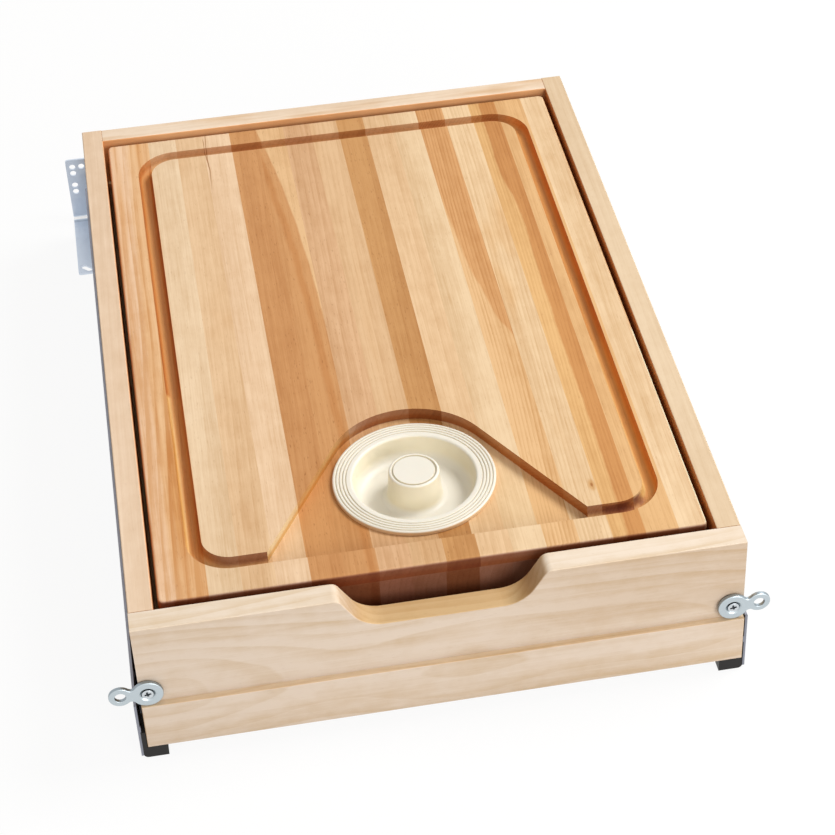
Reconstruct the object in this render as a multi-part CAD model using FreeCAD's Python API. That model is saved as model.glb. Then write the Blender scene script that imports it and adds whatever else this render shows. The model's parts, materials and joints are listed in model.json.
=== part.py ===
"""Cutting board drawer: a maple drawer box on undermount runners, with a lift-out
laminated cutting board, its scrap plug, and swivelling figure-eight fasteners for
the decorative front. Millimetres. X is to the right, Y to the back, Z up.
"""
import FreeCAD, Part
import math
import os

Vec = FreeCAD.Vector
X_AXIS = Vec(1, 0, 0)
Y_AXIS = Vec(0, 1, 0)
Z_AXIS = Vec(0, 0, 1)

# Drawer box
drawer_width = 371.0
drawer_depth = 538.0
drawer_height = 95.0
front_thickness = 16.0
side_thickness = 15.0
back_thickness = 15.0
edge_round = 0.8

# Lower strip of the front, which stands proud of the rest
front_step = 4.5
ledge_height = 34.7

# Finger notch in the front's top edge
notch_flat = 72.0
notch_depth = 23.5
notch_slope_deg = 58.0
notch_low_radius = 22.0
notch_top_radius = 6.0

# Bottom panel, held in a groove all round
panel_thickness = 6.35
panel_recess = 12.7
panel_tongue = 6.0
panel_play = 0.2
chute_radius = 55.0

# Corner dowels
dowel_radius = 4.0
dowel_length = 30.0
dowel_in_end_piece = 10.0
dowel_heights = (32.0, 58.0, 84.0)

# Cleats that carry the board
cleat_width = 12.0
cleat_height = 19.0
cleat_end_gap = 1.0
cleat_screw_radius = 1.8
cleat_screw_head_radius = 3.6
cleat_screw_length = 24.0
cleat_screw_inset = 60.0
cleat_screws_per_side = 3

# Cutting board
board_thickness = 33.5
board_drop = 3.0
board_side_gap = 3.0
board_front_gap = 7.5
board_back_gap = 4.0
board_top_round = 2.0
board_corner_round = 4.0
lip_height = 8.3
lip_setback = 4.7
stave_count = 16
first_stave = 30.4
last_stave = 18.2

# Juice groove
groove_width = 9.8
groove_depth = 7.5
groove_side_margin = 20.3
groove_front_margin = 20.8
groove_back_margin = 18.0
groove_bend_radius = 23.0

# Funnel pocket
pocket_depth = 8.6
pocket_half_width = 99.0
pocket_wall_deg = 30.7
pocket_arc_radius = 54.0

# Scrap plug
plug_radius = 51.9
plug_from_pocket_front = 65.3
plug_flange = 3.2
plug_wall = 2.8
bowl_radius = 39.0
bowl_depth = 16.0
bowl_draft = 2.2
bowl_floor_round = 8.0
bowl_lip_round = 2.2
bowl_hole_gap = 0.6
knob_radius = 16.1
knob_flare = 1.2
knob_rise = 5.2
knob_top_round = 1.8
knob_foot_round = 4.0
knob_ring_radius = 13.4
knob_ring_width = 0.7
rim_round = 1.3
ring_count = 4
ring_first_inset = 2.3
ring_pitch = 2.1
ring_radius = 0.55

# Figure-eight fasteners and their screws
clip_thickness = 2.5
clip_big_radius = 9.5
clip_small_radius = 7.0
clip_hole_radius = 3.4
clip_reach = 16.3
clip_waist_radius = 2.5
clip_above_ledge = 0.2
clip_air = 0.9
clip_left_inset = 4.9
clip_left_tilt_deg = 1.8
clip_right_inset = 7.2
clip_right_tilt_deg = 5.6
clip_screw_radius = 2.2
clip_screw_play = 0.05
clip_head_radius = 4.6
clip_head_play = 0.4
clip_screw_length = 15.0
recess_depth = 1.2
recess_width = 0.9
recess_reach = 2.6

# Runners: three profiles on each side, and how far right of their middle the drawer hangs
runner_side_gap = 1.9
side_adjustment = 1.15
cabinet_sheet = 1.5
rail_sheet = 1.2
rail_drop = 7.5
rail_flange_height = 43.5
rail_behind_strip = 1.0
rail_overhang = 12.0
channel_inset = 18.0
channel_width = 26.0
lip_reach = 7.0
roll_gap = 2.7
mid_flange_side_gap = 1.3
mid_rail_start = 30.0
mid_rail_before_back = 28.0
channel_behind_front = 4.0
rail_screw_radius = 2.25
rail_screw_first = 37.0
rail_screw_pitch = 224.0
rail_screw_count = 3
rail_screw_above_flange_foot = 29.5

# Rear hook of the drawer rail
hook_rise = 16.0
hook_half_width = 7.0
hook_pin_radius = 2.9
hook_pin_play = 0.1
hook_pin_length = 12.0
hook_pin_above_rail = 10.5
rail_notch_play = 2.5

# Roller carriages between the profiles
carriage_length = 110.0
lower_carriage_start = 190.0
upper_carriage_start = 230.0
roller_radius = 1.3
roller_length = 18.0
roller_count = 5
roller_pitch = 21.0
roller_window_play = 0.3
carriage_strip = 1.4
carriage_air = 0.3
carriage_cheek = 0.5

# Front end cap of the cabinet rail
cap_behind_strip = 0.5
cap_depth = 16.0
cap_foot_width = 15.2
cap_arm_height = 13.0
cap_grip_on_web = 5.0
cap_air = 0.3
cap_corner_round = 3.0
tab_height = 5.0

# Rear bracket, the same pressing on both sides
bracket_sheet = 1.5
bracket_tab_reach = 13.0
bracket_foot_overlap = 51.0
bracket_behind_rail = 24.5
bracket_plate_height = 55.0
bracket_corner_round = 2.0
bracket_hole_radius = 2.4
bracket_hole_inset = 5.0
bracket_hole_second_inset = 12.0
bracket_hole_heights = (27.0, 33.0, 44.1, 49.9)
bracket_slot_radius = 2.3
bracket_slot_half_length = 2.6
bracket_slot_inset = 6.6
bracket_slot_from_end = 6.5
bracket_slot_turn_deg = 45.0
rivet_radius = 2.0
rivet_head_radius = 3.6
rivet_head_height = 1.0
rivet_from_foot_end = 16.0
rivet_pitch = 24.0

# Locking devices under the front corners
lock_width = 28.0
lock_depth = 40.0
lock_from_front = 2.0
lock_rail_gap = 2.0
lock_height = 10.0
lock_tooth_depth = 14.0
lock_tooth_height = 0.8
lock_tooth_air = 0.4
lock_screw_radius = 1.6
lock_screw_head_radius = 3.0
lock_screw_inset = 6.0
lock_screw_bite = 5.0
lever_thickness = 4.0
lever_air = 0.4
lever_boss_radius = 3.0
lever_boss_play = 0.05
lever_boss_end = 1.0
lever_hub_radius = 7.0
lever_arm_width = 8.0
lever_arm_length = 30.0
lever_angle_deg = 20.0
lever_pad_radius = 6.5

# Places worked out from the sizes
half_width = drawer_width / 2
inner_half = half_width - side_thickness
front_inner = front_thickness
back_inner = drawer_depth - back_thickness
panel_top = panel_recess + panel_thickness
board_top = drawer_height - board_drop
board_bottom = board_top - board_thickness
board_half = inner_half - board_side_gap
board_front = front_inner + board_front_gap
board_back = back_inner - board_back_gap
groove_half = board_half - groove_side_margin
groove_front = board_front + groove_front_margin
groove_back = board_back - groove_back_margin
pocket_floor = board_top - pocket_depth
plug_y = groove_front + plug_from_pocket_front
flange_top = pocket_floor + plug_flange
bowl_outer = bowl_radius + plug_wall - bowl_draft
bowl_hole = bowl_outer + bowl_hole_gap
clip_z = ledge_height + clip_big_radius + clip_above_ledge
rail_bottom = -rail_drop
base_z = rail_bottom - bracket_sheet
flange_inner = half_width + runner_side_gap
rail_outer = flange_inner + cabinet_sheet
rail_front = rail_behind_strip - front_step
cap_front = cap_behind_strip - front_step
web_front = cap_front + cap_depth - cap_grip_on_web
rail_back = drawer_depth + rail_overhang
channel_outer = half_width - channel_inset
channel_inner = channel_outer - channel_width
channel_middle = (channel_outer + channel_inner) / 2
foot_back = rail_back + bracket_behind_rail
plate_back = foot_back + bracket_sheet

# Heights inside the runner, from the cabinet rail up and from the drawer rail down
web_top = rail_bottom + cabinet_sheet
low_flange = web_top + roll_gap
low_lip = low_flange + rail_sheet + roll_gap
plate_under = panel_recess - rail_sheet
high_flange_top = plate_under - roll_gap
high_flange = high_flange_top - rail_sheet
high_lip = high_flange - roll_gap - rail_sheet

# The origin is under the middle of the whole part, on the plane that it stands on
origin = Vec(0, (plate_back - front_step) / 2, base_z)

os.makedirs("parts", exist_ok=True)


def save(name, shape):
    """Write one node, moved to the part's origin."""
    placed = shape.copy()
    placed.translate(origin.negative())
    placed.exportStep("parts/" + name + ".step")


def block(x0, x1, y0, y1, z0, z1):
    """A box between two corners."""
    corner = Vec(min(x0, x1), min(y0, y1), min(z0, z1))
    return Part.makeBox(abs(x1 - x0), abs(y1 - y0), abs(z1 - z0), corner)


def join(shapes):
    """One solid from shapes that touch."""
    return shapes[0].fuse(shapes[1:]).removeSplitter()


def group(solids):
    """Separate solids in one node."""
    return Part.makeCompound(solids)


def mirror(shape):
    """The same piece on the left side."""
    return shape.mirror(Vec(0, 0, 0), X_AXIS)


def mirror_point(point):
    """The same point on the left side."""
    return Vec(-point.x, point.y, point.z)


def pair(name, right, left):
    """Save a right-hand piece and the mirror image of its left-hand counterpart."""
    save(name + "_right", right)
    save(name + "_left", mirror(left))


def both_sides(name, shape):
    """Save a piece of the drawer and its mirror image."""
    pair(name, shape, shape)


def on_runner(shape):
    """A piece of the runners, moved from their middle to its place beside the drawer."""
    moved = shape.copy()
    moved.translate(Vec(-side_adjustment, 0, 0))
    return moved


def both_runners(name, shape):
    """Save a piece of the runners and its mirror image."""
    save(name + "_right", on_runner(shape))
    save(name + "_left", on_runner(mirror(shape)))


def prism(points, direction):
    """A closed polygon, extruded."""
    outline = Part.makePolygon(points + [points[0]])
    return Part.Face(outline).extrude(direction)


def edges_where(shape, test):
    """The edges whose bounding box passes a test."""
    return [edge for edge in shape.Edges if test(edge.BoundBox)]


def rounded(shape, radius, test):
    """The shape with a fillet on the edges that pass a test."""
    return shape.makeFillet(radius, edges_where(shape, test))


def close(a, b):
    return abs(a - b) < 1e-6


def notch_cutter():
    """The finger notch: a flat floor, hollow corners, slanted sides and rounded lips."""
    slope = math.radians(notch_slope_deg)
    floor_z = drawer_height - notch_depth
    turn = 1 - math.cos(slope)
    line_rise = notch_depth - (notch_low_radius + notch_top_radius) * turn
    line_run = line_rise / math.tan(slope)
    x0 = notch_flat / 2
    x1 = x0 + notch_low_radius * math.sin(slope)
    x2 = x1 + line_run
    x3 = x2 + notch_top_radius * math.sin(slope)
    z1 = floor_z + notch_low_radius * turn
    z2 = z1 + line_rise
    half_sine, half_rise = math.sin(slope / 2), 1 - math.cos(slope / 2)
    low_mid = Vec(x0 + notch_low_radius * half_sine, 0, floor_z + notch_low_radius * half_rise)
    top_mid = Vec(x3 - notch_top_radius * half_sine, 0, drawer_height - notch_top_radius * half_rise)
    start, low_end = Vec(x0, 0, floor_z), Vec(x1, 0, z1)
    line_end, lip = Vec(x2, 0, z2), Vec(x3, 0, drawer_height)
    above = Vec(0, 0, notch_depth)
    left_lip = mirror_point(lip)
    right = [
        Part.Arc(start, low_mid, low_end).toShape(),
        Part.makeLine(low_end, line_end),
        Part.Arc(line_end, top_mid, lip).toShape(),
    ]
    left = [mirror(edge) for edge in right]
    floor = Part.makeLine(mirror_point(start), start)
    lid = Part.makePolygon([lip, lip + above, left_lip + above, left_lip])
    wire = Part.Wire(Part.__sortEdges__(right + left + [floor] + lid.Edges))
    cutter = Part.Face(wire).extrude(Vec(0, front_thickness + 2 * front_step, 0))
    cutter.translate(Vec(0, -front_step, 0))
    return cutter


def panel_space(play):
    """The bottom panel's block, larger by the play of its groove."""
    reach = panel_tongue + play
    return block(-inner_half - reach, inner_half + reach, front_inner - reach, back_inner + reach,
                 panel_recess - play, panel_top + play)


def dowels():
    """Dowels that join the sides to the front and to the back."""
    solids = []
    side_centre = half_width - side_thickness / 2
    back_centre = drawer_depth - back_thickness / 2
    for side in (-1, 1):
        for z in dowel_heights:
            start = Vec(side * side_centre, front_inner - dowel_in_end_piece, z)
            solids.append(Part.makeCylinder(dowel_radius, dowel_length, start, Y_AXIS))
            start = Vec(side * (inner_half + dowel_in_end_piece), back_centre, z)
            solids.append(Part.makeCylinder(dowel_radius, dowel_length, start, X_AXIS * -side))
    return group(solids)


def clip_screw(inset, head_play=0, shank_play=0):
    """A countersunk screw through a right-hand fastener, or the hole for it."""
    start = Vec(half_width - inset, -clip_air - clip_thickness, clip_z)
    sink = clip_head_radius - clip_screw_radius
    head = Part.makeCone(clip_head_radius + head_play, clip_screw_radius + head_play, sink, start, Y_AXIS)
    shank = Part.makeCylinder(clip_screw_radius + shank_play, clip_screw_length, start, Y_AXIS)
    return join([head, shank])


def front():
    """The front: the finger notch above, the proud strip with its ledge below."""
    outline = [
        Vec(-half_width, -front_step, 0), Vec(-half_width, front_thickness, 0),
        Vec(-half_width, front_thickness, drawer_height), Vec(-half_width, 0, drawer_height),
        Vec(-half_width, 0, ledge_height), Vec(-half_width, -front_step, ledge_height),
    ]
    shape = prism(outline, X_AXIS * drawer_width).cut(notch_cutter())

    def on_rim(box):
        flat = close(box.YMin, box.YMax)
        face = close(box.YMin, 0) or close(box.YMin, front_thickness)
        return flat and face and box.ZMin > ledge_height + edge_round

    def on_strip(box):
        return close(box.YMin, -front_step) and close(box.YMax, -front_step)

    shape = rounded(shape, edge_round, lambda box: on_rim(box) or on_strip(box))
    screws = [clip_screw(clip_right_inset), mirror(clip_screw(clip_left_inset))]
    return shape.cut([panel_space(panel_play), dowels()] + screws)


def cleat_screws(side):
    """The screws that hold one cleat, and the shape of their holes."""
    solids = []
    run = back_inner - front_inner - 2 * cleat_screw_inset
    inner_x = inner_half - cleat_width
    sink = cleat_screw_head_radius - cleat_screw_radius
    for index in range(cleat_screws_per_side):
        y = front_inner + cleat_screw_inset + run * index / (cleat_screws_per_side - 1)
        start = Vec(side * inner_x, y, board_bottom - cleat_height / 2)
        shank = Part.makeCylinder(cleat_screw_radius, cleat_screw_length, start, X_AXIS * side)
        head = Part.makeCone(cleat_screw_head_radius, cleat_screw_radius, sink, start, X_AXIS * side)
        solids.append(join([shank, head]))
    return solids


def side_panel():
    """The right side of the box."""
    shape = block(inner_half, half_width, front_inner, drawer_depth, 0, drawer_height)

    def on_rim(box):
        return close(box.ZMin, drawer_height) and box.YLength > side_thickness

    shape = rounded(shape, edge_round, on_rim)
    return shape.cut([panel_space(panel_play), dowels()] + cleat_screws(1))


def hook_pin(play):
    """The right rear hook's pin, or the hole for it."""
    start = Vec(channel_middle, drawer_depth, panel_recess + hook_pin_above_rail)
    return Part.makeCylinder(hook_pin_radius + play, hook_pin_length + play, start, Y_AXIS * -1)


def back_panel():
    """The back, between the sides, notched at its foot for the runners."""
    shape = block(-inner_half, inner_half, back_inner, drawer_depth, 0, drawer_height)

    def on_rim(box):
        return close(box.ZMin, drawer_height) and box.XLength > back_thickness

    shape = rounded(shape, edge_round, on_rim)
    notch = block(inner_half, channel_inner - rail_notch_play, back_inner, drawer_depth, 0, panel_recess)
    cutters = [panel_space(panel_play), dowels(), notch, mirror(notch)]
    cutters += [on_runner(hook_pin(hook_pin_play)), on_runner(mirror(hook_pin(hook_pin_play)))]
    return shape.cut(cutters)


def bottom_panel():
    """The bottom panel, with the round opening under the plug."""
    chute = Part.makeCylinder(chute_radius, 2 * panel_top, Vec(0, plug_y, 0), Z_AXIS)
    screws = [hole for side in (1, -1) for hole in lock_screws(side)]
    return panel_space(0).cut([chute] + screws)


def cleat():
    """The right cleat under the board's edge."""
    y0, y1 = front_inner + cleat_end_gap, back_inner - cleat_end_gap
    bar = block(inner_half - cleat_width, inner_half, y0, y1, board_bottom - cleat_height, board_bottom)
    return bar.cut(cleat_screws(1))


def arc_edge(centre, radius, start_deg, end_deg):
    """An arc in a level plane, counted anticlockwise from +X."""
    ends = [math.radians(a) for a in (start_deg, (start_deg + end_deg) / 2, end_deg)]
    points = [centre + Vec(math.cos(a), math.sin(a), 0) * radius for a in ends]
    return Part.Arc(*points).toShape()


def groove_cutter():
    """A round-bottomed groove round the board, open at the front into the pocket."""
    half = groove_width / 2
    x = groove_half - half
    y0 = groove_front + half
    y1 = groove_back - half
    bend = groove_bend_radius
    start_x = pocket_half_width - half
    top = Vec(0, 0, board_top)
    path = [
        Part.makeLine(top + Vec(start_x, y0, 0), top + Vec(x - bend, y0, 0)),
        arc_edge(top + Vec(x - bend, y0 + bend, 0), bend, -90, 0),
        Part.makeLine(top + Vec(x, y0 + bend, 0), top + Vec(x, y1 - bend, 0)),
        arc_edge(top + Vec(x - bend, y1 - bend, 0), bend, 0, 90),
        Part.makeLine(top + Vec(x - bend, y1, 0), top + Vec(bend - x, y1, 0)),
        arc_edge(top + Vec(bend - x, y1 - bend, 0), bend, 90, 180),
        Part.makeLine(top + Vec(-x, y1 - bend, 0), top + Vec(-x, y0 + bend, 0)),
        arc_edge(top + Vec(bend - x, y0 + bend, 0), bend, 180, 270),
        Part.makeLine(top + Vec(bend - x, y0, 0), top + Vec(-start_x, y0, 0)),
    ]
    low = board_top - groove_depth + half
    over = board_top + half
    left, right = Vec(start_x, y0 - half, low), Vec(start_x, y0 + half, low)
    bottom = Vec(start_x, y0, board_top - groove_depth)
    corners = [left, Vec(start_x, y0 - half, over), Vec(start_x, y0 + half, over), right]
    profile = Part.Wire([Part.Arc(left, bottom, right).toShape()] + Part.makePolygon(corners).Edges)
    return Part.Wire(path).makePipeShell([profile], True, False)


def pocket_cutter():
    """The funnel pocket: slanted walls that meet in an arc behind the plug."""
    wall = math.radians(pocket_wall_deg)
    normal = Vec(math.cos(wall), math.sin(wall), 0)
    y0 = groove_front
    y1 = groove_front + groove_width
    arc_y = y1 + (pocket_half_width * normal.x - pocket_arc_radius) / normal.y
    centre = Vec(0, arc_y, pocket_floor)
    touch = centre + normal * pocket_arc_radius
    right = [
        Part.makeLine(Vec(pocket_half_width, y0, pocket_floor), Vec(pocket_half_width, y1, pocket_floor)),
        Part.makeLine(Vec(pocket_half_width, y1, pocket_floor), touch),
    ]
    arc = Part.Arc(touch, centre + Y_AXIS * pocket_arc_radius, Vec(-touch.x, touch.y, touch.z)).toShape()
    near = Part.makeLine(Vec(-pocket_half_width, y0, pocket_floor), Vec(pocket_half_width, y0, pocket_floor))
    wire = Part.Wire(Part.__sortEdges__([near] + right + [arc] + [mirror(edge) for edge in right]))
    return Part.Face(wire).extrude(Z_AXIS * (pocket_depth + groove_width))


def board():
    """The whole board before it is divided into its staves."""
    shape = block(-board_half, board_half, board_front, board_back, board_bottom, board_top)
    shape = rounded(shape, board_corner_round, lambda box: box.ZLength > board_thickness / 2)
    shape = rounded(shape, board_top_round, lambda box: close(box.ZMin, board_top))
    rabbet = block(-half_width, half_width, board_front - lip_setback, board_front + lip_setback,
                   board_bottom - lip_height, board_top - lip_height)
    hole = Part.makeCylinder(bowl_hole, board_thickness, Vec(0, plug_y, board_bottom))
    return shape.cut([rabbet, groove_cutter(), pocket_cutter(), hole])


def stave_edges():
    """The glue lines across the board, with a wider first and a narrower last stave."""
    width = (2 * board_half - first_stave - last_stave) / (stave_count - 2)
    inner = [-board_half + first_stave + width * index for index in range(stave_count - 1)]
    return [-board_half] + inner + [board_half]


def staves():
    """Each stave of the board, in order from the left."""
    whole = board()
    edges = stave_edges()
    for index in range(stave_count):
        slab = block(edges[index], edges[index + 1], 0, drawer_depth, 0, drawer_height)
        save("stave_%02d" % (index + 1), whole.common(slab))


def plug():
    """The scrap plug: a ringed flange, a bowl for the fingers and a hollow knob."""
    top = flange_top
    floor = top - bowl_depth
    knob_top = top + knob_rise
    wall_top = bowl_radius
    wall_foot = bowl_radius - bowl_draft
    knob_foot = knob_radius + knob_flare
    under = top - plug_flange
    inside_top = knob_top - plug_wall
    bowl_under = floor - plug_wall
    bowl_foot = wall_foot + plug_wall - bowl_draft
    outline = [
        Vec(0, 0, knob_top), Vec(knob_radius, 0, knob_top), Vec(knob_foot, 0, floor),
        Vec(wall_foot, 0, floor), Vec(wall_top, 0, top), Vec(plug_radius, 0, top),
        Vec(plug_radius, 0, under), Vec(bowl_outer, 0, under), Vec(bowl_foot, 0, bowl_under),
        Vec(knob_foot - plug_wall, 0, bowl_under), Vec(knob_radius - plug_wall, 0, inside_top),
        Vec(0, 0, inside_top),
    ]
    face = Part.Face(Part.makePolygon(outline + [outline[0]]))
    shape = face.revolve(Vec(0, 0, 0), Z_AXIS, 360)
    rounds = (
        (knob_top, knob_radius, knob_top_round), (floor, knob_foot, knob_foot_round),
        (floor, wall_foot, bowl_floor_round), (top, wall_top, bowl_lip_round),
        (top, plug_radius, rim_round), (bowl_under, bowl_foot, bowl_floor_round),
    )
    for height, radius, fillet in rounds:
        def circle_here(box, height=height, radius=radius):
            return close(box.ZMin, height) and close(box.ZMax, height) and close(box.XMax, radius)
        shape = rounded(shape, fillet, circle_here)
    rings = [Part.makeTorus(plug_radius - ring_first_inset - ring_pitch * index, ring_radius, Vec(0, 0, top))
             for index in range(ring_count)]
    ring_floor = knob_top - knob_ring_width
    groove = Part.makeCylinder(knob_ring_radius + knob_ring_width, knob_ring_width, Vec(0, 0, ring_floor))
    groove = groove.cut(Part.makeCylinder(knob_ring_radius, knob_ring_width, Vec(0, 0, ring_floor)))
    shape = shape.cut(rings + [groove])
    shape.translate(Vec(0, plug_y, 0))
    return shape


def clip(inset, tilt_deg):
    """A right-hand figure-eight fastener, pointing outwards and a little up."""
    big, small, waist = clip_big_radius, clip_small_radius, clip_waist_radius
    along = (clip_reach ** 2 + (big + waist) ** 2 - (small + waist) ** 2) / (2 * clip_reach)
    across = math.sqrt((big + waist) ** 2 - along ** 2)
    front_y = -clip_air - clip_thickness
    shape = join([
        Part.makeCylinder(big, clip_thickness, Vec(0, front_y, 0), Y_AXIS),
        Part.makeCylinder(small, clip_thickness, Vec(clip_reach, front_y, 0), Y_AXIS),
        prism([Vec(0, front_y, 0), Vec(along, front_y, across), Vec(clip_reach, front_y, 0),
               Vec(along, front_y, -across)], Y_AXIS * clip_thickness),
    ])
    waists = [Part.makeCylinder(waist, clip_thickness, Vec(along, front_y, z), Y_AXIS)
              for z in (across, -across)]
    hole = Part.makeCylinder(clip_hole_radius, clip_thickness, Vec(clip_reach, front_y, 0), Y_AXIS)
    shape = shape.cut(waists + [hole])
    shape.rotate(Vec(0, 0, 0), Y_AXIS, -tilt_deg)
    shape.translate(Vec(half_width - inset, 0, clip_z))
    return shape.cut(clip_screw(inset, clip_head_play, clip_screw_play))


def clip_screw_with_recess(inset):
    """A fastener's screw, with a cross recess in its head."""
    y0 = -clip_air - clip_thickness
    y1 = y0 + recess_depth
    half = recess_width / 2
    bars = [
        block(-recess_reach, recess_reach, y0, y1, -half, half),
        block(-half, half, y0, y1, -recess_reach, recess_reach),
    ]
    for bar in bars:
        bar.translate(Vec(half_width - inset, 0, clip_z))
    return clip_screw(inset).cut(bars)


def rail_screw_holes():
    """Screw holes through the cabinet rail's upright flange."""
    z = rail_bottom + rail_screw_above_flange_foot
    return [Part.makeCylinder(rail_screw_radius, cabinet_sheet,
                              Vec(flange_inner, rail_screw_first + rail_screw_pitch * index, z), X_AXIS)
            for index in range(rail_screw_count)]


def rivets(side_shift):
    """The rivets that hold one rear bracket to its rail."""
    x = side_shift - channel_middle
    solids = []
    for index in range(2):
        y = foot_back - bracket_behind_rail - bracket_foot_overlap + rivet_from_foot_end + rivet_pitch * index
        shank = Part.makeCylinder(rivet_radius, bracket_sheet + cabinet_sheet, Vec(x, y, base_z), Z_AXIS)
        head = Part.makeCylinder(rivet_head_radius, rivet_head_height, Vec(x, y, web_top), Z_AXIS)
        solids.append(join([shank, head]))
    return solids


def cabinet_rail():
    """The right cabinet rail: upright flange, web, and a channel for the middle rail."""
    y0, y1 = rail_front, rail_back
    channel_start = front_inner + channel_behind_front
    t = cabinet_sheet
    lip_top = low_lip + t
    tab_inner = half_width + side_adjustment + cap_air
    shape = join([
        block(flange_inner, rail_outer, y0, y1, rail_bottom, rail_bottom + rail_flange_height),
        block(channel_inner, rail_outer, web_front, y1, rail_bottom, web_top),
        block(channel_outer - t, channel_outer, channel_start, y1, rail_bottom, lip_top),
        block(channel_inner, channel_inner + t, channel_start, y1, rail_bottom, lip_top),
        block(channel_outer - lip_reach, channel_outer, channel_start, y1, low_lip, lip_top),
        block(channel_inner, channel_inner + lip_reach, channel_start, y1, low_lip, lip_top),
        block(tab_inner, rail_outer, y0, y0 + t, cap_arm_height, cap_arm_height + tab_height),
    ])
    return shape.cut(rail_screw_holes())


def middle_rail():
    """The right middle rail, an I section with one flange in each channel."""
    y0, y1 = mid_rail_start, drawer_depth - mid_rail_before_back
    outer = channel_outer - rail_sheet - mid_flange_side_gap
    inner = channel_inner + rail_sheet + mid_flange_side_gap
    centre = (outer + inner) / 2
    t = rail_sheet
    return join([
        block(inner, outer, y0, y1, low_flange, low_flange + t),
        block(centre - t / 2, centre + t / 2, y0, y1, low_flange, high_flange_top),
        block(inner, outer, y0, y1, high_flange, high_flange_top),
    ])


def drawer_rail():
    """The right drawer rail under the bottom panel, with its rear hook."""
    y0, y1 = front_inner + channel_behind_front, drawer_depth + rail_sheet
    t = rail_sheet
    return join([
        block(channel_inner, channel_outer, y0, y1, plate_under, panel_recess),
        block(channel_outer - t, channel_outer, y0, y1, high_lip, panel_recess),
        block(channel_inner, channel_inner + t, y0, y1, high_lip, panel_recess),
        block(channel_outer - lip_reach, channel_outer, y0, y1, high_lip, high_lip + t),
        block(channel_inner, channel_inner + lip_reach, y0, y1, high_lip, high_lip + t),
        block(channel_middle - hook_half_width, channel_middle + hook_half_width, drawer_depth, y1,
              plate_under, panel_recess + hook_rise),
        hook_pin(0),
    ])


def carriage(start, wall, strip_low, pad_low):
    """A roller carriage: a windowed strip, two cheeks and two pads over the flange."""
    y0, y1 = start, start + carriage_length
    outer = channel_outer - wall - carriage_air
    inner = channel_inner + wall + carriage_air
    pad_high = pad_low + roll_gap - 2 * carriage_air
    strip_high = strip_low + carriage_strip
    low, high = min(strip_low, pad_low), max(strip_high, pad_high)
    pad_reach = lip_reach - wall
    shape = join([
        block(inner, outer, y0, y1, strip_low, strip_high),
        block(outer - carriage_cheek, outer, y0, y1, low, high),
        block(inner, inner + carriage_cheek, y0, y1, low, high),
        block(outer - pad_reach, outer, y0, y1, pad_low, pad_high),
        block(inner, inner + pad_reach, y0, y1, pad_low, pad_high),
    ])
    half_length = roller_length / 2 + roller_window_play
    half_slot = roller_radius + roller_window_play
    x0, x1 = channel_middle - half_length, channel_middle + half_length
    windows = [block(x0, x1, y - half_slot, y + half_slot, strip_low, strip_high)
               for y in roller_places(start)]
    return shape.cut(windows)


def roller_places(start):
    """Where a carriage's rollers lie along the runner."""
    first = start + (carriage_length - roller_pitch * (roller_count - 1)) / 2
    return [first + roller_pitch * index for index in range(roller_count)]


def rollers(start, height):
    """The rollers of one carriage."""
    x0 = channel_middle - roller_length / 2
    return group([Part.makeCylinder(roller_radius, roller_length, Vec(x0, y, height), X_AXIS)
                  for y in roller_places(start)])


def end_cap(play):
    """A right-hand rail's front cap: a foot under the drawer's corner and an arm beside it."""
    y0, y1 = cap_front, cap_front + cap_depth
    inner = flange_inner - cap_foot_width
    arm_inner = half_width + play + cap_air
    foot = block(inner, flange_inner, y0, y1, base_z, -cap_air)

    def outer_corner(box):
        return close(box.ZMin, base_z) and close(box.ZMax, base_z) and close(box.XMin, flange_inner)

    foot = rounded(foot, cap_corner_round, outer_corner)
    arm = block(arm_inner, flange_inner, y0, y1, base_z + cap_corner_round, cap_arm_height)
    web = block(0, rail_outer, web_front, y1, rail_bottom, web_top)
    return join([foot, arm]).cut(web)


def bracket(side_shift):
    """The rear bracket: a foot under the rail and a plate against the cabinet's back."""
    x0 = -rail_outer - bracket_tab_reach + side_shift
    x1 = -channel_inner + side_shift
    y0 = foot_back - bracket_behind_rail - bracket_foot_overlap
    foot = block(x0, x1, y0, plate_back, base_z, rail_bottom)
    plate = block(x0, x1, foot_back, plate_back, base_z, base_z + bracket_plate_height + bracket_sheet)
    shape = join([foot, plate])

    def free_corner(box):
        upright = box.ZLength < 2 * bracket_sheet and close(box.YMin, y0) and close(box.YMax, y0)
        level = close(box.ZMin, box.ZMax) and box.ZMin > rail_bottom + bracket_plate_height / 2
        return (upright and box.XLength < 1e-6) or (level and box.XLength < 1e-6)

    shape = rounded(shape, bracket_corner_round, free_corner)
    first, second = bracket_hole_inset, bracket_hole_second_inset
    places = [(x, z) for z in bracket_hole_heights for x in (x0 + first, x1 - first)]
    places += [(x, bracket_hole_heights[-1]) for x in (x0 + second, x1 - second)]
    cutters = [Part.makeCylinder(bracket_hole_radius, bracket_sheet, Vec(x, foot_back, base_z + z), Y_AXIS)
               for x, z in places]
    slot = slot_cutter()
    slot.rotate(Vec(0, 0, 0), Z_AXIS, -bracket_slot_turn_deg)
    slot.translate(Vec(x0 + bracket_slot_inset, y0 + bracket_slot_from_end, base_z))
    return shape.cut(cutters + [slot] + rivets(side_shift))


def slot_cutter():
    """A round-ended slot along X, centred on the origin."""
    height = 2 * bracket_sheet
    half = bracket_slot_half_length
    return join([
        block(-half, half, -bracket_slot_radius, bracket_slot_radius, 0, height),
        Part.makeCylinder(bracket_slot_radius, height, Vec(half, 0, 0)),
        Part.makeCylinder(bracket_slot_radius, height, Vec(-half, 0, 0)),
    ])


def lock_box():
    """The right locking device's corners: inner x, outer x, front y, back y."""
    outer = channel_inner - lock_rail_gap
    y0 = front_inner + lock_from_front
    return outer - lock_width, outer, y0, y0 + lock_depth


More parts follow.
